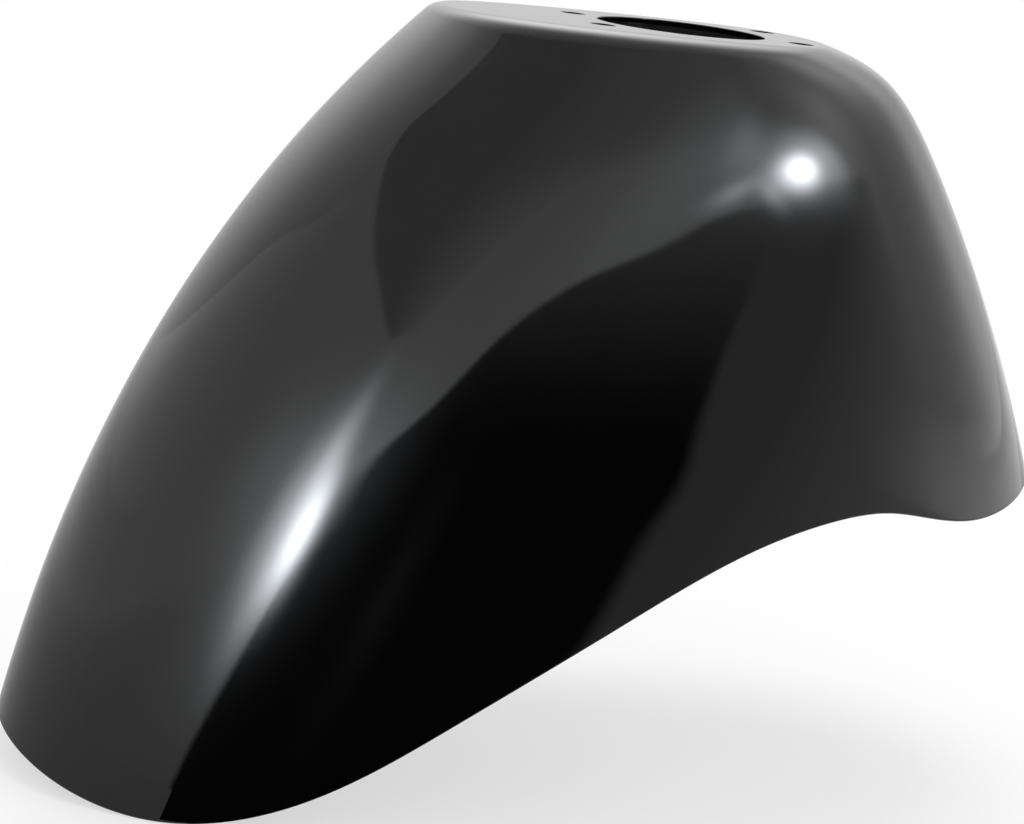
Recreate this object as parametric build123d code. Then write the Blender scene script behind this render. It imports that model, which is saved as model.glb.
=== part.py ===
from build123d import *
import math
import os

# Front mudguard of a scooter-type motorcycle: one injection-moulded shell of even wall.
# Millimetres. The origin is the centre of the stem hole on the plate's upper face.
# +Z is up along the steering axis, the nose points to -Y, +X is the vehicle's left side.

# Skin
WALL = 2.5
RIM_ROUND = 1.0

# Top plate, which is clamped under the fork yoke
PLATE_EDGE_ROUND = 10.0
STEM_HOLE_DIAMETER = 66.0
BOLT_HOLE_DIAMETER = 10.0
BOLT_SPACING_ACROSS = 44.0
BOLT_SPACING_ALONG = 80.0
BOLT_PATTERN_REARWARD = 2.0

# Reach of the outer skin from the stem hole, as it spreads below the plate.
# Each line starts at the plate and gains its spread, ever more slowly, as the depth passes its fade.
NOSE_AT_PLATE = 98.0
NOSE_SPREAD = 187.0
NOSE_FADE = 186.0
TAIL_AT_PLATE = 57.0
TAIL_SPREAD = 207.0
TAIL_FADE = 276.0
TAIL_BROW_SPREAD = 25.0
TAIL_BROW_FADE = 7.5
SIDE_AT_PLATE = 51.5
SIDE_SPREAD = 38.5
SIDE_FADE = 95.0

# Level sections of the skin, by their depth below its top
SECTION_DEPTHS = [0, 4, 9, 16, 26, 40, 60, 85, 115, 150, 190, 235, 280, 325]
SECTION_BLUNTNESS = 0.026
SECTION_POINTS = 24
PROBE = 0.001

# Rim in side view, from ahead of the nose to behind the tail: distance ahead of the stem hole, depth
RIM_LINE = [
    (295.0, 246.0),
    (225.0, 300.8),
    (185.0, 307.3),
    (135.0, 294.3),
    (80.0, 259.1),
    (20.0, 216.9),
    (-30.0, 186.2),
    (-62.0, 174.8),
    (-86.0, 171.9),
    (-108.0, 175.2),
    (-130.0, 177.7),
    (-150.0, 175.2),
    (-176.0, 166.0),
    (-250.0, 140.0),
]


def gained(spread, fade, depth):
    """Part of a spread that is gained by this depth."""
    return spread * (1.0 - math.exp(-depth / fade))


def blunt(first, third):
    """One coordinate of a blunt oval of unit reach: a wave of its angle less some of the triple one."""
    return (first - SECTION_BLUNTNESS * third) / (1.0 - SECTION_BLUNTNESS)


def outer_point(angle, depth):
    """Point of the outer skin at this depth; the angle runs round the level oval from the nose."""
    brow = gained(TAIL_BROW_SPREAD, TAIL_BROW_FADE, depth)
    nose = NOSE_AT_PLATE + gained(NOSE_SPREAD, NOSE_FADE, depth)
    tail = TAIL_AT_PLATE + brow + gained(TAIL_SPREAD, TAIL_FADE, depth)
    half_width = SIDE_AT_PLATE + gained(SIDE_SPREAD, SIDE_FADE, depth)
    along = blunt(math.cos(angle), math.cos(3.0 * angle))
    across = blunt(math.sin(angle), -math.sin(3.0 * angle))
    ahead = (nose - tail) / 2 + (nose + tail) / 2 * along
    return Vector(half_width * across, -ahead, -depth)


def inner_point(angle, depth):
    """Point of the inner skin, level with the outer one and one wall from it, square to the surface."""
    run = outer_point(angle + PROBE, depth) - outer_point(angle - PROBE, depth)
    outward = Vector(run.Y, -run.X, 0).normalized()
    fall = outer_point(angle, depth + PROBE) - outer_point(angle, depth - PROBE)
    flare = fall.dot(outward) / (2 * PROBE)
    return outer_point(angle, depth) - outward * WALL * math.hypot(1.0, flare)


def level_section(skin_point, depth):
    """Closed level outline of a skin, in two halves that meet at tail and nose."""
    steps = range(SECTION_POINTS)
    points = [skin_point(math.pi + 2 * math.pi * step / SECTION_POINTS, depth) for step in steps]
    even = [step / SECTION_POINTS for step in range(SECTION_POINTS + 1)]
    outline = Edge.make_spline(points, periodic=True, parameters=even)
    return Wire([outline.trim(0.0, 0.5), outline.trim(0.5, 1.0)])


def form(skin_point, top, edge_round):
    """Solid inside a skin: lofted level sections below a flat top, with the top's edge rounded."""
    body = Solid.make_loft([level_section(skin_point, top + depth) for depth in SECTION_DEPTHS])
    top_edge = body.faces().sort_by(Axis.Z)[-1].edges()
    return fillet(top_edge, edge_round)


# Shell: the outer form less the inner one, which starts one wall lower and so opens the underside
shell = form(outer_point, 0.0, PLATE_EDGE_ROUND) - form(inner_point, WALL, PLATE_EDGE_ROUND - WALL)

# Stem hole and four bolt holes through the plate
drill_length = 4 * WALL
shell = shell - Cylinder(STEM_HOLE_DIAMETER / 2, drill_length)
bolt_drill = Cylinder(BOLT_HOLE_DIAMETER / 2, drill_length)
for place in GridLocations(BOLT_SPACING_ACROSS, BOLT_SPACING_ALONG, 2, 2):
    shell = shell - Pos(0, BOLT_PATTERN_REARWARD, 0) * place * bolt_drill

# Rim: everything below the side-view line is trimmed away, and both edges are eased
trim_side = SIDE_AT_PLATE + SIDE_SPREAD + WALL
trim_foot = -SECTION_DEPTHS[-1] - 2 * WALL
rim_points = [Vector(-trim_side, -ahead, -depth) for ahead, depth in RIM_LINE]
front_foot = Vector(-trim_side, rim_points[0].Y, trim_foot)
rear_foot = Vector(-trim_side, rim_points[-1].Y, trim_foot)
below_rim = Face(Wire([
    Edge.make_spline(rim_points),
    Edge.make_line(rim_points[-1], rear_foot),
    Edge.make_line(rear_foot, front_foot),
    Edge.make_line(front_foot, rim_points[0]),
]))
shell = shell - extrude(below_rim, amount=2 * trim_side, dir=(1, 0, 0))
rim_edges = shell.faces().filter_by(GeomType.EXTRUSION).edges()
shell = fillet(rim_edges, RIM_ROUND)

os.makedirs("parts", exist_ok=True)
export_step(shell, "parts/mudguard_shell.step")
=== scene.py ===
import math

import bpy
import numpy as np
from mathutils import Matrix, Vector
from mathutils.geometry import tessellate_polygon


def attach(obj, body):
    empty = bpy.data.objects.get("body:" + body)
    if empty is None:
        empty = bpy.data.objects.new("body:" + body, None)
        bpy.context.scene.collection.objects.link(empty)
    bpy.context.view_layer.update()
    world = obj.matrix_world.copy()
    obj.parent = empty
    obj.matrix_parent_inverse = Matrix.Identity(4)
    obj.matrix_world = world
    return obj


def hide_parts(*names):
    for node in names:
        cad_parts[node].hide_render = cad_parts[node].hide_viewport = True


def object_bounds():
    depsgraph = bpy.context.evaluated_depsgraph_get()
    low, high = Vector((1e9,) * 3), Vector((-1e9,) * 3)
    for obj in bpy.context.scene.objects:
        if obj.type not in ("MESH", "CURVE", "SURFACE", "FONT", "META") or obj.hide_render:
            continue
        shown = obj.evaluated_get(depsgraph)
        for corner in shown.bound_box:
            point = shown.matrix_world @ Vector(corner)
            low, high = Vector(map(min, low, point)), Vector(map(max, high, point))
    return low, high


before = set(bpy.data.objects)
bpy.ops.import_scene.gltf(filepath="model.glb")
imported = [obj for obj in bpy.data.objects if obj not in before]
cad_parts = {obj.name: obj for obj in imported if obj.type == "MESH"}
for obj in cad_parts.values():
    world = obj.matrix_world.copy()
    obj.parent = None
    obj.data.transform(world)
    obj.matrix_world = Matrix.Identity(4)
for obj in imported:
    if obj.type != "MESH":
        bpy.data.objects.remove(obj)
cad_low, cad_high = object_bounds()

# Gloss black front mudguard of a scooter. Lengths are millimetres unless a name ends in _M for metres.
# Working axes of the shape: x to the vehicle's left, u ahead towards the nose, z up. In the frame, y is -u.
MM = 0.001

# Skin, as in the construction
WALL = 2.5
RIM_ROUND = 1.0
PLATE_EDGE_ROUND = 10.0
NOSE_AT_PLATE = 98.0
NOSE_SPREAD = 187.0
NOSE_FADE = 186.0
TAIL_AT_PLATE = 57.0
TAIL_SPREAD = 207.0
TAIL_FADE = 276.0
TAIL_BROW_SPREAD = 25.0
TAIL_BROW_FADE = 7.5
SIDE_AT_PLATE = 51.5
SIDE_SPREAD = 38.5
SIDE_FADE = 95.0
SECTION_BLUNTNESS = 0.026
DEEPEST = 325.0

# Rim in side view: distance ahead of the stem hole, depth below the plate
RIM_LINE = [
    (295.0, 246.0),
    (225.0, 300.8),
    (185.0, 307.3),
    (135.0, 294.3),
    (80.0, 259.1),
    (20.0, 216.9),
    (-30.0, 186.2),
    (-62.0, 174.8),
    (-86.0, 171.9),
    (-108.0, 175.2),
    (-130.0, 177.7),
    (-150.0, 175.2),
    (-176.0, 166.0),
    (-250.0, 140.0),
]

# Holes of the plate
STEM_HOLE_DIAMETER = 66.0
BOLT_HOLE_DIAMETER = 10.0
BOLT_SPACING_ACROSS = 44.0
BOLT_SPACING_ALONG = 80.0
BOLT_PATTERN_REARWARD = 2.0
HOLE_EDGE_ROUND = 0.4

# Fineness of the mesh; the rows of the wall crowd together towards the plate
COLUMNS = 288
OUTER_ROWS = 72
INNER_ROWS = 48
ROW_CROWDING = 0.6
PLATE_EDGE_ROWS = 8
RIM_ROWS = 5
RIM_LINE_STEPS = 60
STEM_HOLE_POINTS = 96
BOLT_HOLE_POINTS = 40
HOLE_EDGE_LEANS = np.radians([0.0, 45.0, 90.0])
HALVINGS = 50


def unit(vectors):
    """Vectors scaled to unit length."""
    return vectors / np.linalg.norm(vectors, axis=-1, keepdims=True)


def dot(a, b):
    """Dot products along the last axis, kept as a column."""
    return np.sum(a * b, -1, keepdims=True)


def gained(spread, fade, depth):
    """Part of a spread that is gained by this depth, and its rate of gain."""
    left = np.exp(-depth / fade)
    return spread * (1.0 - left), spread / fade * left


def skin(angle, depth):
    """Points and outward normals of the outer skin; the angle runs round the level oval from the nose."""
    nose, nose_rate = gained(NOSE_SPREAD, NOSE_FADE, depth)
    tail, tail_rate = gained(TAIL_SPREAD, TAIL_FADE, depth)
    brow, brow_rate = gained(TAIL_BROW_SPREAD, TAIL_BROW_FADE, depth)
    side, side_rate = gained(SIDE_SPREAD, SIDE_FADE, depth)
    nose = nose + NOSE_AT_PLATE
    tail = tail + brow + TAIL_AT_PLATE
    tail_rate = tail_rate + brow_rate
    side = side + SIDE_AT_PLATE
    scale = 1.0 / (1.0 - SECTION_BLUNTNESS)
    along = scale * (np.cos(angle) - SECTION_BLUNTNESS * np.cos(3 * angle))
    across = scale * (np.sin(angle) + SECTION_BLUNTNESS * np.sin(3 * angle))
    along_turn = scale * (3 * SECTION_BLUNTNESS * np.sin(3 * angle) - np.sin(angle))
    across_turn = scale * (np.cos(angle) + 3 * SECTION_BLUNTNESS * np.cos(3 * angle))
    half = (nose + tail) / 2
    points = np.stack([side * across, (nose - tail) / 2 + half * along, -depth + 0 * angle], -1)
    round_the_oval = np.stack([side * across_turn, half * along_turn, 0 * half * angle], -1)
    ahead_rate = (nose_rate - tail_rate) / 2 + (nose_rate + tail_rate) / 2 * along
    down_the_skin = np.stack([side_rate * across, ahead_rate, -1 + 0 * ahead_rate], -1)
    return points, unit(np.cross(round_the_oval, down_the_skin))


def end_slope(steps, points):
    """Slope, at the first of four points, of the cubic through them."""
    slope = np.zeros(points.shape[1])
    for j in range(4):
        others = [k for k in range(4) if k != j]
        if j == 0:
            weight = sum(1.0 / (steps[0] - steps[k]) for k in others)
        else:
            weight = np.prod([steps[0] - steps[k] for k in others if k != 0])
            weight /= np.prod([steps[j] - steps[k] for k in others])
        slope += weight * points[j]
    return slope


def smooth_line(points, per_span):
    """Points along the smooth cubic line through the given ones, with parameters from their distances."""
    points = np.array(points, float)
    gaps = np.linalg.norm(np.diff(points, axis=0), axis=1)
    steps = np.concatenate([[0.0], np.cumsum(gaps)])
    count = len(points)
    matrix = np.zeros((count, count))
    right = np.zeros_like(points)
    matrix[0, 0] = matrix[-1, -1] = 1.0
    right[0] = end_slope(steps[:4], points[:4])
    right[-1] = end_slope(steps[::-1][:4], points[::-1][:4])
    for i in range(1, count - 1):
        before, after = gaps[i - 1], gaps[i]
        matrix[i, i - 1:i + 2] = after, 2 * (before + after), before
        rise_before = (points[i] - points[i - 1]) / before
        rise_after = (points[i + 1] - points[i]) / after
        right[i] = 3 * (after * rise_before + before * rise_after)
    slopes = np.linalg.solve(matrix, right)
    line = []
    for i in range(count - 1):
        t = np.linspace(0, 1, per_span, endpoint=False)[:, None]
        part = (1 + 2 * t) * (1 - t) ** 2 * points[i] + t * t * (3 - 2 * t) * points[i + 1]
        part += gaps[i] * (t * (1 - t) ** 2 * slopes[i] - t * t * (1 - t) * slopes[i + 1])
        line.append(part)
    line.append(points[-1:])
    return np.concatenate(line)


def solve_depth(height_above, low, high, shape):
    """Depth at which a function that falls with depth passes zero, column by column, by halving."""
    low = np.full(shape, low)
    high = np.full(shape, high)
    for _ in range(HALVINGS):
        middle = (low + high) / 2
        above = height_above(middle) > 0
        low = np.where(above, middle, low)
        high = np.where(above, high, middle)
    return (low + high) / 2


def swung(first, second, share):
    """Unit vectors part of the way round from the first ones to the second ones."""
    swing = np.arccos(np.clip(dot(first, second), -1, 1))
    return (np.sin((1 - share) * swing) * first + np.sin(share * swing) * second) / np.sin(swing)


def rounded_corner(corner, first, second, radius, steps):
    """Arc that rounds a corner between two directions away from it, with its normals."""
    half_angle = np.arccos(np.clip(dot(first, second), -1, 1)) / 2
    middle = corner + unit(first + second) * radius / np.sin(half_angle)
    start = unit(corner + first * radius / np.tan(half_angle) - middle)
    end = unit(corner + second * radius / np.tan(half_angle) - middle)
    normals = [swung(start, end, share) for share in np.linspace(0, 1, steps)]
    return [(middle + radius * normal, normal) for normal in normals]


def plate_edge(angle):
    """Depth where the plate's rounded edge meets the wall, the round's centre line and the wall's normals."""
    def above(depth):
        return PLATE_EDGE_ROUND * (1 - skin(angle, depth)[1][:, 2]) - depth
    depth = solve_depth(above, 0.0, 2 * PLATE_EDGE_ROUND, angle.shape)
    points, normals = skin(angle, depth)
    return depth, points - PLATE_EDGE_ROUND * normals, normals


def shell_rows():
    """Rows of points and normals: down the outer skin to the rim, and from there up the inner skin."""
    angle = np.arange(COLUMNS) * 2 * np.pi / COLUMNS
    top, centre, wall_normal = plate_edge(angle)
    rim = smooth_line(RIM_LINE, RIM_LINE_STEPS)[::-1]

    def above_rim(offset):
        def above(depth):
            points, normals = skin(angle, depth)
            points = points - offset * normals
            return np.interp(points[:, 1], rim[:, 0], rim[:, 1]) + points[:, 2]
        return above

    outer_foot = solve_depth(above_rim(0.0), PLATE_EDGE_ROUND, DEEPEST, angle.shape)
    inner_foot = solve_depth(above_rim(WALL), PLATE_EDGE_ROUND, DEEPEST, angle.shape)
    up = np.zeros((COLUMNS, 3))
    up[:, 2] = 1.0

    def edge_rows(radius):
        normals = [swung(up, wall_normal, share) for share in np.linspace(0, 1, PLATE_EDGE_ROWS + 1)]
        return [(centre + radius * normal, normal) for normal in normals]

    def wall_rows(foot, count, offset):
        rows = []
        for t in np.arange(1, count) / count:
            depth = top + (foot - top) * ((1 - ROW_CROWDING) * t + ROW_CROWDING * t * t)
            points, normals = skin(angle, depth)
            rows.append((points - offset * normals, normals))
        return rows

    def rim_corner(foot, offset):
        points, normals = skin(angle, foot)
        corner = points - offset * normals
        along = unit(np.roll(corner, -1, 0) - np.roll(corner, 1, 0))
        upward = unit(np.cross(normals, along))
        return corner, along, upward * np.sign(upward[:, 2:])

    outer_corner, outer_along, outer_up = rim_corner(outer_foot, 0.0)
    inner_corner, inner_along, inner_up = rim_corner(inner_foot, WALL)
    inward = inner_corner - outer_corner
    outer_in = unit(inward - dot(inward, outer_along) * outer_along)
    inner_out = unit(dot(inward, inner_along) * inner_along - inward)

    outer = edge_rows(PLATE_EDGE_ROUND)
    outer += wall_rows(outer_foot, OUTER_ROWS, 0.0)
    outer += rounded_corner(outer_corner, outer_up, outer_in, RIM_ROUND, RIM_ROWS)
    inner = rounded_corner(inner_corner, inner_out, inner_up, RIM_ROUND, RIM_ROWS)
    inner += [(p, -n) for p, n in wall_rows(inner_foot, INNER_ROWS, WALL)[::-1]]
    inner += [(p, -n) for p, n in edge_rows(PLATE_EDGE_ROUND - WALL)[::-1]]
    return outer, inner


def hole_rows(x, u, diameter, count):
    """Rows of points and normals down the wall of a drilled hole, with both of its edges eased."""
    angle = np.arange(count) * 2 * np.pi / count
    out = np.stack([np.cos(angle), np.sin(angle), 0 * angle], -1)
    up = np.array([0.0, 0.0, 1.0])
    upper = []
    for lean in HOLE_EDGE_LEANS:
        normal = np.cos(lean) * up - np.sin(lean) * out
        reach = diameter / 2 + HOLE_EDGE_ROUND * (1 - np.sin(lean))
        height = HOLE_EDGE_ROUND * (np.cos(lean) - 1)
        upper.append((np.array([x, u, height]) + reach * out, normal))
    mirror = np.array([1, 1, -1])
    lower = [(points * mirror - WALL * up, normal * mirror) for points, normal in upper[::-1]]
    return upper + lower


def drilled_holes():
    """Each hole of the plate as rows of points and normals."""
    holes = [hole_rows(0.0, 0.0, STEM_HOLE_DIAMETER, STEM_HOLE_POINTS)]
    for x in (-BOLT_SPACING_ACROSS / 2, BOLT_SPACING_ACROSS / 2):
        for u in (-BOLT_SPACING_ALONG / 2, BOLT_SPACING_ALONG / 2):
            holes.append(hole_rows(x, u - BOLT_PATTERN_REARWARD, BOLT_HOLE_DIAMETER, BOLT_HOLE_POINTS))
    return holes


class MeshParts:
    """Points, normals and faces of the mesh as they are added."""

    def __init__(self):
        self.points = []
        self.normals = []
        self.inside = []
        self.faces = []

    def add_rings(self, rows, inside):
        """Adds rows of points as closed rings and returns the numbers of the points of each."""
        rings = []
        for points, normals in rows:
            first = len(self.points)
            self.points.extend(points.tolist())
            self.normals.extend(normals.tolist())
            self.inside.extend([inside] * len(points))
            rings.append(list(range(first, len(self.points))))
        return rings

    def join_rings(self, rings):
        """Adds the quads between each ring and the next."""
        for upper, lower in zip(rings, rings[1:]):
            count = len(upper)
            for j in range(count):
                k = (j + 1) % count
                self.faces.append((upper[j], lower[j], lower[k], upper[k]))

    def fill(self, rings, faces_up):
        """Adds the flat face inside the first ring and outside the others."""
        numbers = [n for ring in rings for n in ring]
        outlines = [[Vector(self.points[n]) for n in ring] for ring in rings]
        for a, b, c in tessellate_polygon(outlines):
            pa, pb, pc = (Vector(self.points[numbers[i]][:2]) for i in (a, b, c))
            clockwise = (pb - pa).cross(pc - pa) < 0
            tri = (numbers[a], numbers[b], numbers[c])
            # The frame mirrors u, so a face that turns clockwise here faces up there
            self.faces.append(tri if clockwise == faces_up else tri[::-1])


def build_shell():
    """The whole mudguard as one closed mesh with exact normals."""
    parts = MeshParts()
    outer, inner = shell_rows()
    rings = parts.add_rings(outer, 0.0) + parts.add_rings(inner, 1.0)
    parts.join_rings(rings)
    top_rings = [rings[0]]
    low_rings = [rings[-1]]
    for hole in drilled_holes():
        hole_rings = parts.add_rings(hole, 0.0)
        parts.join_rings(hole_rings)
        top_rings.append(hole_rings[0])
        low_rings.append(hole_rings[-1])
    parts.fill(top_rings, True)
    parts.fill(low_rings, False)

    to_frame = np.array([1.0, -1.0, 1.0])
    mesh = bpy.data.meshes.new("mudguard_skin")
    mesh.from_pydata((np.array(parts.points) * to_frame * MM).tolist(), [], parts.faces)
    mesh.shade_smooth()
    mesh.normals_split_custom_set_from_vertices((np.array(parts.normals) * to_frame).tolist())
    inside = mesh.attributes.new("inside", "FLOAT", "POINT")
    inside.data.foreach_set("value", parts.inside)
    piece = bpy.data.objects.new("mudguard_skin", mesh)
    bpy.context.collection.objects.link(piece)
    return piece


def new_material(name):
    """An empty node material and its node tree."""
    material = bpy.data.materials.new(name)
    material.use_nodes = True
    tree = material.node_tree
    tree.nodes.clear()
    return material, tree


def node(tree, kind, **settings):
    """Adds a node; a setting that names an input sets its value or links a socket to it."""
    made = tree.nodes.new(kind)
    for key, value in settings.items():
        if key.startswith("in_"):
            name = key.removeprefix("in_")
            target = made.inputs[int(name)] if name.isdigit() else made.inputs[name.replace("_", " ")]
            if isinstance(value, bpy.types.NodeSocket):
                tree.links.new(value, target)
            else:
                target.default_value = value
        else:
            setattr(made, key, value)
    return made


def math_node(tree, operation, *values):
    """Result of a math node on its values."""
    inputs = {f"in_{place}": value for place, value in enumerate(values)}
    return node(tree, "ShaderNodeMath", operation=operation, **inputs).outputs[0]


def vector_node(tree, operation, *values):
    """Vector that a vector math node makes of its values; for a measure, its number."""
    inputs = {f"in_{place}": value for place, value in enumerate(values)}
    made = node(tree, "ShaderNodeVectorMath", operation=operation, **inputs)
    return made.outputs["Value" if operation in ("DOT_PRODUCT", "LENGTH") else "Vector"]


def ramp(tree, value, low, high, start, end, smooth=False):
    """Value mapped from one range to another, held at both ends."""
    made = node(tree, "ShaderNodeMapRange", in_Value=value, in_From_Min=low, in_From_Max=high,
                in_To_Min=start, in_To_Max=end)
    if smooth:
        made.interpolation_type = "SMOOTHSTEP"
    return made.outputs[0]


# Surface of the plastic. Each pattern: scale per metre, detail, roughness
WAVES = (28.0, 1.0, 0.4)
PEEL = (420.0, 2.0, 0.5)
GRAIN = (1400.0, 2.0, 0.6)
CLOUDS = (35.0, 6.0, 0.6)
WAVE_DEPTH_M = 0.00004
PEEL_DEPTH_M = 0.0000015
GRAIN_DEPTH_M = 0.00002
# Tones and roughness of the gloss outside follow the clouds, those of the satin inside follow the grain
CLOUDS_FOR_TONE = (0.35, 0.7)
GLOSS_TONES = ((0.0007, 0.0007, 0.0008, 1), (0.0013, 0.0013, 0.0015, 1))
CLOUDS_FOR_SHINE = (0.3, 0.75)
GLOSS_ROUGHNESS = (0.05, 0.075)
SATIN_TONES = ((0.007, 0.007, 0.0074, 1), (0.014, 0.014, 0.0147, 1))
SATIN_ROUGHNESS = (0.34, 0.46)
PLASTIC_IOR = 1.5


def pattern(tree, scale, detail, roughness):
    """Strength of a noise pattern in the part's own space."""
    place = node(tree, "ShaderNodeTexCoord").outputs["Object"]
    noise = node(tree, "ShaderNodeTexNoise", in_Vector=place, in_Scale=scale, in_Detail=detail,
                 in_Roughness=roughness)
    return noise.outputs["Fac"]


def toned(tree, value, low, high, first, second):
    """Colour that runs from one tone to another as a value passes from low to high."""
    made = node(tree, "ShaderNodeValToRGB", in_Fac=value)
    start, end = made.color_ramp.elements
    start.position, start.color = low, first
    end.position, end.color = high, second
    return made.outputs[0]


def gloss_black():
    """Gloss black moulded plastic: faint mould waves and fine peel outside, satin and grained inside."""
    material, tree = new_material("black_gloss_plastic")
    inside = node(tree, "ShaderNodeAttribute", attribute_name="inside").outputs["Fac"]
    clouds = pattern(tree, *CLOUDS)
    grain = pattern(tree, *GRAIN)

    # Of a mix node's inputs, 0 is the share, 2 and 3 are its numbers, 6 and 7 its colours
    gloss_tone = toned(tree, clouds, *CLOUDS_FOR_TONE, *GLOSS_TONES)
    satin_tone = toned(tree, grain, 0.0, 1.0, *SATIN_TONES)
    tone = node(tree, "ShaderNodeMix", data_type="RGBA", in_0=inside, in_6=gloss_tone, in_7=satin_tone)
    shine = ramp(tree, clouds, *CLOUDS_FOR_SHINE, *GLOSS_ROUGHNESS)
    satin = ramp(tree, grain, 0.0, 1.0, *SATIN_ROUGHNESS)
    rough = node(tree, "ShaderNodeMix", data_type="FLOAT", in_0=inside, in_2=shine, in_3=satin)

    wavy = node(tree, "ShaderNodeBump", in_Height=pattern(tree, *WAVES), in_Strength=1.0,
                in_Distance=WAVE_DEPTH_M)
    peeled = node(tree, "ShaderNodeBump", in_Height=pattern(tree, *PEEL), in_Strength=1.0,
                  in_Distance=PEEL_DEPTH_M, in_Normal=wavy.outputs[0])
    grained = node(tree, "ShaderNodeBump", in_Height=grain, in_Strength=inside,
                   in_Distance=GRAIN_DEPTH_M, in_Normal=peeled.outputs[0])
    surface = node(tree, "ShaderNodeBsdfPrincipled", in_Base_Color=tone.outputs[2],
                   in_Roughness=rough.outputs[0], in_IOR=PLASTIC_IOR, in_Normal=grained.outputs[0])
    node(tree, "ShaderNodeOutputMaterial", in_Surface=surface.outputs[0])
    return material


# Camera of the photograph, aimed in the middle plane
CAMERA_AZIMUTH = 74.988
CAMERA_ELEVATION = 15.439
ROLL = math.radians(6.792)
AIM_M = Vector((0.0, -0.04942, -0.15914))
DISTANCE_M = 0.80004
FOCAL_PIXELS = 1972.14
IMAGE_WIDTH = 1024
SENSOR_MM = 36.0
CLIP_START_M = 0.01
CLIP_END_M = 50.0


def way_to(azimuth, elevation):
    """Unit vector in a direction given in degrees, the azimuth from straight ahead towards the left side."""
    turn, rise = math.radians(azimuth), math.radians(elevation)
    return Vector((math.sin(turn) * math.cos(rise), -math.cos(turn) * math.cos(rise), math.sin(rise)))


def make_camera():
    """Camera at the photograph's viewing angle."""
    back = way_to(CAMERA_AZIMUTH, CAMERA_ELEVATION)
    right = way_to(CAMERA_AZIMUTH + 90.0, 0.0)
    up = back.cross(right)
    across = math.cos(ROLL) * right + math.sin(ROLL) * up
    upward = math.cos(ROLL) * up - math.sin(ROLL) * right
    data = bpy.data.cameras.new("camera")
    data.sensor_width = SENSOR_MM
    data.sensor_fit = "HORIZONTAL"
    data.lens = FOCAL_PIXELS * SENSOR_MM / IMAGE_WIDTH
    data.clip_start = CLIP_START_M
    data.clip_end = CLIP_END_M
    camera = bpy.data.objects.new("camera", data)
    turn = Matrix((across, upward, back)).transposed().to_4x4()
    camera.matrix_world = Matrix.Translation(AIM_M + back * DISTANCE_M) @ turn
    bpy.context.collection.objects.link(camera)
    bpy.context.scene.camera = camera


# Floor and surroundings
WHITE = (1, 1, 1, 1)
FLOOR_HALF_M = 8.0
FLOOR_COLOUR = (0.9, 0.9, 0.9, 1)
FLOOR_WHITE_NEAR = 0.6
FLOOR_SHADED_TO_M = 0.4
FLOOR_WHITE_FROM_M = 1.4
SKY_LIGHT = 0.85
SKY_SEEN = 1.0
# Soft brighter parts of the surroundings, seen in reflections only: azimuth from straight ahead towards the
# vehicle's left, elevation, strength, tightness
SKY_GLOWS = [
    (-60, 45, 1.7, 8),
    (-16, 57, 0.7, 24),
    (-105, 48, 2.2, 14),
    (-105, 63, 3.3, 16),
    (-140, 55, 0.8, 14),
    (209, 2, 0.3, 9.6),
    (200, 35, 1.36, 32),
    (169, 43, 1.95, 32),
    (144, 26, 1.17, 80),
    (176, 0, 0.3, 33),
    (194, 9, 0.65, 36),
]


def seen_directly(tree):
    """One where a ray comes from the camera or off a glossy or clear surface, else nought."""
    path = node(tree, "ShaderNodeLightPath").outputs
    seen = math_node(tree, "MAXIMUM", path["Is Camera Ray"], path["Is Glossy Ray"])
    return math_node(tree, "MAXIMUM", seen, path["Is Transmission Ray"])


def make_world():
    """White surroundings that light the scene softly, with a few softly brighter parts for the gloss."""
    world = bpy.data.worlds.new("studio")
    bpy.context.scene.world = world
    world.use_nodes = True
    tree = world.node_tree
    tree.nodes.clear()
    way = node(tree, "ShaderNodeTexCoord").outputs["Generated"]
    mirrored = node(tree, "ShaderNodeLightPath").outputs["Is Glossy Ray"]
    level = SKY_SEEN
    for azimuth, elevation, strength, tightness in SKY_GLOWS:
        facing = vector_node(tree, "DOT_PRODUCT", way, way_to(azimuth, elevation))
        narrowed = math_node(tree, "POWER", math_node(tree, "MAXIMUM", facing, 0.0), tightness)
        glow = math_node(tree, "MULTIPLY", narrowed, strength)
        level = math_node(tree, "ADD", math_node(tree, "MULTIPLY", glow, mirrored), level)
    bright = node(tree, "ShaderNodeBackground", in_Color=WHITE, in_Strength=level)
    soft = node(tree, "ShaderNodeBackground", in_Color=WHITE, in_Strength=SKY_LIGHT)
    both = node(tree, "ShaderNodeMixShader", in_0=seen_directly(tree), in_1=soft.outputs[0],
                in_2=bright.outputs[0])
    node(tree, "ShaderNodeOutputWorld", in_Surface=both.outputs[0])


def stage_mesh(name, points, faces):
    """An object of the stage, which is no part of the mudguard."""
    mesh = bpy.data.meshes.new(name)
    mesh.from_pydata(points, [], faces)
    made = bpy.data.objects.new(name, mesh)
    bpy.context.collection.objects.link(made)
    return made


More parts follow.
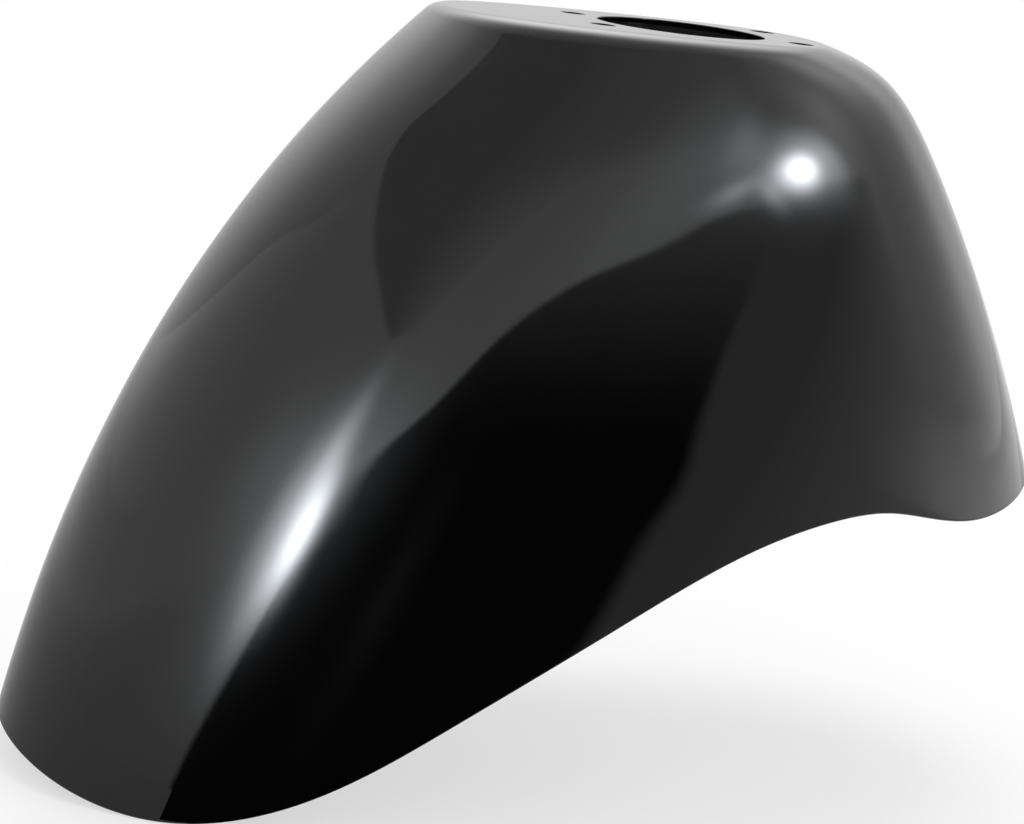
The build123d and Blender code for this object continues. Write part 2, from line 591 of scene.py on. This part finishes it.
def make_floor():
    """Pale floor that shows the shadow near the part, is plain white further off and clear from below."""
    height = cad_low.z
    half = FLOOR_HALF_M
    corners = [(-half, -half, height), (half, -half, height), (half, half, height), (-half, half, height)]
    floor = stage_mesh("floor", corners, [(0, 1, 2, 3)])
    material, tree = new_material("floor_white")
    place = node(tree, "ShaderNodeTexCoord").outputs["Object"]
    reach = vector_node(tree, "LENGTH", vector_node(tree, "MULTIPLY", place, (1, 1, 0)))
    far = ramp(tree, reach, FLOOR_SHADED_TO_M, FLOOR_WHITE_FROM_M, FLOOR_WHITE_NEAR, 1.0, True)
    whitened = math_node(tree, "MULTIPLY", far, seen_directly(tree))
    matt = node(tree, "ShaderNodeBsdfDiffuse", in_Color=FLOOR_COLOUR)
    white = node(tree, "ShaderNodeEmission", in_Color=WHITE, in_Strength=1.0)
    lit = node(tree, "ShaderNodeMixShader", in_0=whitened, in_1=matt.outputs[0], in_2=white.outputs[0])
    clear = node(tree, "ShaderNodeBsdfTransparent")
    below = node(tree, "ShaderNodeNewGeometry").outputs["Backfacing"]
    shown = node(tree, "ShaderNodeMixShader", in_0=below, in_1=lit.outputs[0], in_2=clear.outputs[0])
    node(tree, "ShaderNodeOutputMaterial", in_Surface=shown.outputs[0])
    floor.data.materials.append(material)


# Studio cards, which only reflections see. They lean on a plane on the near side of the part, where the
# camera is, or on its mirror image on the far side. Places on a plane are given as distance ahead of the stem
# hole and distance up the slope from the floor. Layers count away from the part.
NEAR_SIDE, FAR_SIDE = 1, -1
CARD_FOOT = 100.0
CARD_LEAN = math.radians(30.0)
LAYER_STEP = 0.5
LAYER_OVER, LAYER_BLACK, LAYER_BEHIND, LAYER_LAST = -1, 0, 1, 2
# Steps from each point of a line to the next, and from each line of a panel to the next
PANEL_STEPS = 12

# Edges of the black flag from its rear tip down to the floor, each point with half the width of its soft
# edge. Both edges have the same number of points.
FLAG_FRONT = [(-165, 362, 4), (-110, 350, 4), (-72, 331, 4), (-35, 309, 4), (12, 286, 3), (54, 260, 3),
              (85, 230, 2.5), (117, 190, 2), (146, 160, 6), (161, 130, 13), (175, 102, 3), (187.5, 64, 3),
              (196, 36, 3), (203, -4, 2)]
FLAG_REAR = [(-165, 358, 4), (-144, 330, 4), (-125, 303, 4), (-108, 280, 4), (-88, 252, 4), (-71, 226, 4),
             (-57, 200, 5), (-45, 176, 6), (-34, 152, 6), (-16, 130, 6), (4, 100, 6), (23, 71, 6),
             (48, 39, 6), (82, -4, 6)]
# Heights up the slope between which the flag turns lighter, and its levels below and above them
FLAG_FADE = (165, 345)
FLAG_LEVELS = (0.01, 0.38)
FAR_FLAG_LEVELS = (0.12, 0.5)

# Cards on the floor: distance to the left of the stem hole, distance ahead of it
FLOOR_CARD_LIFT = 1.0
FLAG_FOOT = [(68.5, 186), (104, 203), (104, 90), (86, 90), (81.5, 130), (77.5, 150), (71.5, 175)]
# The card under the part is painted shade, a black card that only reflections see
UNDER_SHADE_CARD = [(75, 175), (-75, 175), (-75, -150), (75, -150)]
UNDER_SHADE_LEVEL = 0.0

# Grey flag. It is whole at its start and thins out along its way, and it ends softly below a sloping top.
GREY_OUTLINE = [(70, 2), (-3000, 2), (-3000, 1600), (-260, 450), (-150, 375), (-90, 285), (0, 120)]
GREY_LEVEL = 0.39
GREY_START = (-105, 190)
GREY_WAY = (-1 / 225, -1 / 223)
GREY_TOP = (-200, 387)
GREY_TOP_RISE = 0.407
GREY_TOP_SOFTNESS = 11

# Each glow: ahead, up the slope, tilt of its long axis in degrees, long reach, short reach, strength
FLAG_SHEEN = (115, 95, -68, 60, 9, 0.06)
GLOWS_OVER_FLAGS = [
    (-251, 435, 150, 56, 18.6, 37.0),
    (-320, 478, 154, 132, 43, 6.9),
    (-170, 382, 132, 18.5, 17.4, 3.1),
    (-122, 376, 148, 39, 9.2, 3.0),
    (-161, 452, 124, 78, 24.5, 1.3),
    (175.6, 121.5, -77, 28.4, 7.9, 23.8),
    (178.7, 135, -62, 78, 31, 0.9),
]
GLOWS_BEHIND_FLAGS = [
    (-75, 397, 124, 239, 42.5, 0.5),
    (182.3, 133.2, -78.5, 50.6, 9.7, 11.0),
    (193.6, 130.6, -81, 47.6, 15.2, 4.9),
    (160, 135.5, -67.6, 50.6, 98.6, 1.6),
]
FAR_GLOWS = [
    (182, 132, -79, 60, 14, 12.0),
    (186, 130, -75, 80, 34, 2.0),
]
GLOW_OUTLINE = [(-1500, 2), (1500, 2), (1500, 1400), (-1500, 1400)]
GLOW_TINT = (0.9, 0.95, 1.0, 1)


def reflections_only(made):
    """Hides an object of the stage from everything but reflections."""
    made.visible_camera = False
    made.visible_diffuse = False
    made.visible_transmission = False
    made.visible_volume_scatter = False
    made.visible_shadow = False
    return made


def lean_card(made, layer, side):
    """Puts a flat card on the leaning plane of one side."""
    ahead_way = Vector((0.0, -1.0, 0.0))
    up_way = Vector((side * math.sin(CARD_LEAN), 0.0, math.cos(CARD_LEAN)))
    face_way = ahead_way.cross(up_way)
    foot = Vector((side * CARD_FOOT * MM, 0.0, cad_low.z)) - face_way * side * layer * LAYER_STEP * MM
    turn = Matrix((ahead_way, up_way, face_way)).transposed().to_4x4()
    made.matrix_world = Matrix.Translation(foot) @ turn
    return reflections_only(made)


def card(name, outline, layer, side):
    """A flat card of one face on a leaning plane."""
    corners = [(ahead * MM, up * MM, 0.0) for ahead, up in outline]
    return lean_card(stage_mesh(name, corners, [tuple(range(len(outline)))]), layer, side)


def spread_panel(name, rows):
    """A panel between rows of points, each given as x, y, z and a strength that is kept at the point."""
    points = np.concatenate(rows)
    count = len(rows[0])
    faces = [(i * count + j, i * count + j + 1, (i + 1) * count + j + 1, (i + 1) * count + j)
             for i in range(len(rows) - 1) for j in range(count - 1)]
    made = stage_mesh(name, points[:, :3].tolist(), faces)
    strength = made.data.attributes.new("strength", "FLOAT", "POINT")
    strength.data.foreach_set("value", np.clip(points[:, 3], 0.0, 1.0).tolist())
    return made


def kept_strength(tree):
    """Strength that a panel keeps at its points."""
    return node(tree, "ShaderNodeAttribute", attribute_name="strength").outputs["Fac"]


def soft_edge(points):
    """Both sides of a soft edge, the upper one first, along a line whose points carry half its width."""
    line = smooth_line(points, PANEL_STEPS)
    run = unit(np.gradient(line[:, :2], axis=0))
    aside = np.stack([-run[:, 1], run[:, 0]], -1) * line[:, 2:]
    return line[:, :2] + aside, line[:, :2] - aside


def run_along(tree, origin, way):
    """Distance on a card from an origin along a way, in units of one over the way's length."""
    place = node(tree, "ShaderNodeTexCoord").outputs["Object"]
    away = vector_node(tree, "SUBTRACT", place, (origin[0] * MM, origin[1] * MM, 0.0))
    return vector_node(tree, "DOT_PRODUCT", away, (way[0] / MM, way[1] / MM, 0.0))


def glowing(tree, ahead, up, tilt, long_reach, short_reach, strength):
    """Strength of a soft oval glow on a card, strongest at its centre."""
    turn = math.radians(tilt)
    long_way = (math.cos(turn) / long_reach, math.sin(turn) / long_reach)
    short_way = (-math.sin(turn) / short_reach, math.cos(turn) / short_reach)
    long_run = run_along(tree, (ahead, up), long_way)
    short_run = run_along(tree, (ahead, up), short_way)
    long_square = math_node(tree, "MULTIPLY", long_run, long_run)
    short_square = math_node(tree, "MULTIPLY", short_run, short_run)
    far = math_node(tree, "ADD", long_square, short_square)
    fall = math_node(tree, "EXPONENT", math_node(tree, "MULTIPLY", far, -1.0))
    return math_node(tree, "MULTIPLY", fall, strength)


def finish_card(made, tree, material, level, cover=None, tint=WHITE, adds=False):
    """Gives a card its light: opaque, covering in part, or only adding to what is behind it."""
    surface = node(tree, "ShaderNodeEmission", in_Color=tint, in_Strength=level).outputs[0]
    if adds:
        clear = node(tree, "ShaderNodeBsdfTransparent").outputs[0]
        surface = node(tree, "ShaderNodeAddShader", in_0=surface, in_1=clear).outputs[0]
    elif cover is not None:
        clear = node(tree, "ShaderNodeBsdfTransparent").outputs[0]
        surface = node(tree, "ShaderNodeMixShader", in_0=cover, in_1=clear, in_2=surface).outputs[0]
    node(tree, "ShaderNodeOutputMaterial", in_Surface=surface)
    made.data.materials.append(material)


def floor_card(name, outline, level):
    """A flat opaque card just above the floor."""
    corners = [(left * MM, -ahead * MM, cad_low.z + FLOOR_CARD_LIFT * MM) for left, ahead in outline]
    made = reflections_only(stage_mesh(name, corners, [tuple(range(len(outline)))]))
    material, tree = new_material(name)
    finish_card(made, tree, material, level)


def black_flag(name, side, levels):
    """Soft-edged black flag beside the part, a little lighter at its top, with a foot on the floor."""
    front_out, front_in = soft_edge(FLAG_FRONT)
    rear_in, rear_out = soft_edge(FLAG_REAR)
    rows = []
    for line, strength in ((front_out, 0.0), (front_in, 1.0), (rear_in, 1.0), (rear_out, 0.0)):
        rest = np.tile([0.0, strength], (len(line), 1))
        rows.append(np.concatenate([line * MM, rest], 1))
    made = lean_card(spread_panel(name, rows), LAYER_BLACK, side)
    material, tree = new_material(name)
    height = run_along(tree, (0, 0), (0, 1))
    faded = ramp(tree, height, *FLAG_FADE, *levels, True)
    level = math_node(tree, "ADD", faded, glowing(tree, *FLAG_SHEEN))
    cover = ramp(tree, kept_strength(tree), 0.0, 1.0, 0.0, 1.0, True)
    finish_card(made, tree, material, level, cover)
    floor_card(name + "_foot", [(side * left, ahead) for left, ahead in FLAG_FOOT], levels[0])


def grey_flag():
    """Grey flag behind the black one, which thins out towards the rear, the floor and its top."""
    made = card("flag_grey", GREY_OUTLINE, LAYER_BEHIND, NEAR_SIDE)
    material, tree = new_material("flag_grey")
    body = ramp(tree, run_along(tree, GREY_START, GREY_WAY), 0.0, 1.0, 1.0, 0.0)
    above_top = run_along(tree, GREY_TOP, (GREY_TOP_RISE, 1.0))
    top = ramp(tree, above_top, -GREY_TOP_SOFTNESS, GREY_TOP_SOFTNESS, 1.0, 0.0, True)
    finish_card(made, tree, material, GREY_LEVEL, math_node(tree, "MULTIPLY", body, top))


def glow_card(name, glows, layer, side):
    """A card that only adds light, as soft oval glows."""
    made = card(name, GLOW_OUTLINE, layer, side)
    material, tree = new_material(name)
    total = glowing(tree, *glows[0])
    for glow in glows[1:]:
        total = math_node(tree, "ADD", total, glowing(tree, *glow))
    finish_card(made, tree, material, total, tint=GLOW_TINT, adds=True)


# Curved panels further out, also for reflections only. Each is spread between lines, whose points are given
# as azimuth, elevation and strength.
PANEL_CENTRE_M = Vector((0.06, -0.11, -0.08))
PANEL_RADIUS_M = 1.5
# Dim scrim above the black flag
SCRIM_LEVEL = 0.54
SCRIM_LINES = [
    [(71, 6, 1), (67.5, 9, 1), (62, 14, 1), (53, 21, 1), (43.5, 28, 1), (34, 34, 1), (25, 39, 1), (21, 43, 1),
     (28, 48, 1), (38, 56, 0.6), (55, 66, 0.25), (80, 76, 0)],
    [(71, 6, 1), (69, 9, 1), (68, 14, 1), (70, 21, 1), (77, 28, 1), (84, 34, 1), (90, 39, 1), (94, 43, 1),
     (97, 48, 1), (100, 56, 0.6), (105, 66, 0.25), (110, 76, 0)],
    [(76, 6, 0), (80, 9, 0), (87, 14, 0), (104, 21, 0), (128, 28, 0.25), (132, 34, 0.28), (135, 39, 0.28),
     (138, 43, 0.28), (141, 48, 0.28), (146, 56, 0.2), (150, 66, 0.1), (155, 76, 0)],
]
# Slightly dim backdrop that the plate mirrors
BACKDROP_LEVEL = 0.65
BACKDROP_LINES = [
    [(-140, -1, 0), (-120, -1, 0.4), (-92, -1, 0.4), (-72, -1, 0)],
    [(-140, 6, 0), (-120, 6, 0.4), (-92, 6, 0.4), (-72, 6, 0)],
    [(-140, 14, 0), (-120, 14, 0), (-92, 14, 0), (-72, 14, 0)],
]
# Low light behind the part, just above the floor
LOW_LIGHT_LINES = [
    [(138, -9, 0), (155, -9, 0.6), (170, -9, 1), (190, -9, 1), (205, -9, 0.6), (222, -9, 0.2), (245, -9, 0)],
    [(138, -5.5, 0), (155, -5.5, 0.5), (170, -5.5, 0.8), (190, -5.5, 0.8), (205, -5.5, 0.5), (222, -5.5, 0.2),
     (245, -5.5, 0)],
    [(138, -1, 0), (155, -1, 0), (170, -1, 0), (190, -1, 0), (205, -1, 0), (222, -1, 0), (245, -1, 0)],
]
# Brighter wall ahead of the nose
WALL_LINES = [
    [(-60, -1, 0), (-49, 4, 0.3), (-32, 13, 0.42), (-20, 20, 0.38), (-6, 27, 0.3), (5, 29, 0.2),
     (16, 32, 0.1), (26, 34, 0)],
    [(-60, -2, 0), (-49, -2, 0.05), (-32, -2, 0.12), (-20, -2, 0.14), (-6, -2, 0.12), (5, -2, 0.08),
     (16, -2, 0.02), (26, -2, 0)],
]
# Painted shade: a dimmer round part of the floor below the nose, which only reflections see
FLOOR_SHADE_MIDDLE_M = (0.0, -0.25)
FLOOR_SHADE_REACH_M = 0.8
FLOOR_SHADE_LEVEL = 0.3
FLOOR_SHADE_COVER = 0.55
FLOOR_SHADE_LIFT = 0.5


def curved_panel(name, lines):
    """A curved panel spread between smooth lines of azimuth, elevation and strength."""
    edges = [smooth_line(line, PANEL_STEPS) for line in lines]
    rows = [edges[0]]
    for first, second in zip(edges, edges[1:]):
        rows += [first + (second - first) * step / PANEL_STEPS for step in range(1, PANEL_STEPS + 1)]
    spread = []
    for row in rows:
        ways = [way_to(azimuth, elevation) for azimuth, elevation, _ in row]
        places = np.array([PANEL_CENTRE_M + way * PANEL_RADIUS_M for way in ways])
        spread.append(np.concatenate([places, row[:, 2:]], 1))
    return reflections_only(spread_panel(name, spread))


def painted_floor_shade():
    """Round card on the floor, seen only in reflections, whose painted shade makes the floor a little darker
    near the nose.
    """
    across, along = FLOOR_SHADE_MIDDLE_M
    turn = np.linspace(0.0, 2 * np.pi, 4 * PANEL_STEPS + 1)
    level_turn = np.zeros_like(turn)
    rows = []
    for share in np.linspace(0.0, 1.0, PANEL_STEPS):
        reach = share * FLOOR_SHADE_REACH_M
        ring = [across + reach * np.cos(turn), along + reach * np.sin(turn),
                level_turn + cad_low.z + FLOOR_SHADE_LIFT * MM, level_turn + FLOOR_SHADE_COVER * (1 - share)]
        rows.append(np.stack(ring, -1))
    made = reflections_only(spread_panel("floor_painted_shade", rows))
    material, tree = new_material("floor_painted_shade")
    finish_card(made, tree, material, FLOOR_SHADE_LEVEL, kept_strength(tree))


def make_cards():
    """Flags, panels, soft lights and painted shade on the floor, as the gloss surface mirrors them."""
    glow_card("lights_over_flags", GLOWS_OVER_FLAGS, LAYER_OVER, NEAR_SIDE)
    black_flag("flag_black", NEAR_SIDE, FLAG_LEVELS)
    black_flag("flag_far", FAR_SIDE, FAR_FLAG_LEVELS)
    glow_card("light_far", FAR_GLOWS, LAYER_BEHIND, FAR_SIDE)
    grey_flag()
    glow_card("lights_behind_flags", GLOWS_BEHIND_FLAGS, LAYER_LAST, NEAR_SIDE)
    for name, lines, level in (("scrim_dim", SCRIM_LINES, SCRIM_LEVEL),
                               ("backdrop_dim", BACKDROP_LINES, BACKDROP_LEVEL)):
        panel = curved_panel(name, lines)
        material, tree = new_material(name)
        finish_card(panel, tree, material, level, kept_strength(tree))
    for name, lines in (("wall_front", WALL_LINES), ("light_low", LOW_LIGHT_LINES)):
        panel = curved_panel(name, lines)
        material, tree = new_material(name)
        finish_card(panel, tree, material, kept_strength(tree), adds=True)
    painted_floor_shade()
    # This one is painted shade: a black card that darkens what the stem hole shows of the inside
    floor_card("shade_under", UNDER_SHADE_CARD, UNDER_SHADE_LEVEL)


# Overhead soft lamp
LAMP_PLACE_M = Vector((-0.25, 0.15, 1.45))
LAMP_SIZE_M = 0.9
LAMP_WATTS = 11.0


def make_lamp():
    """One soft lamp overhead, which reflections do not show."""
    data = bpy.data.lights.new("overhead", "AREA")
    data.shape = "SQUARE"
    data.size = LAMP_SIZE_M
    data.energy = LAMP_WATTS
    lamp = bpy.data.objects.new("overhead", data)
    lamp.location = LAMP_PLACE_M
    lamp.visible_glossy = False
    aim = Vector((0.0, 0.0, cad_low.z)) - LAMP_PLACE_M
    lamp.rotation_euler = aim.to_track_quat("-Z", "Y").to_euler()
    bpy.context.collection.objects.link(lamp)


piece = build_shell()
piece.data.materials.append(gloss_black())
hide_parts("mudguard_shell")
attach(piece, "root")

make_camera()
make_world()
make_floor()
make_cards()
make_lamp()
bpy.context.scene.view_settings.view_transform = "Standard"
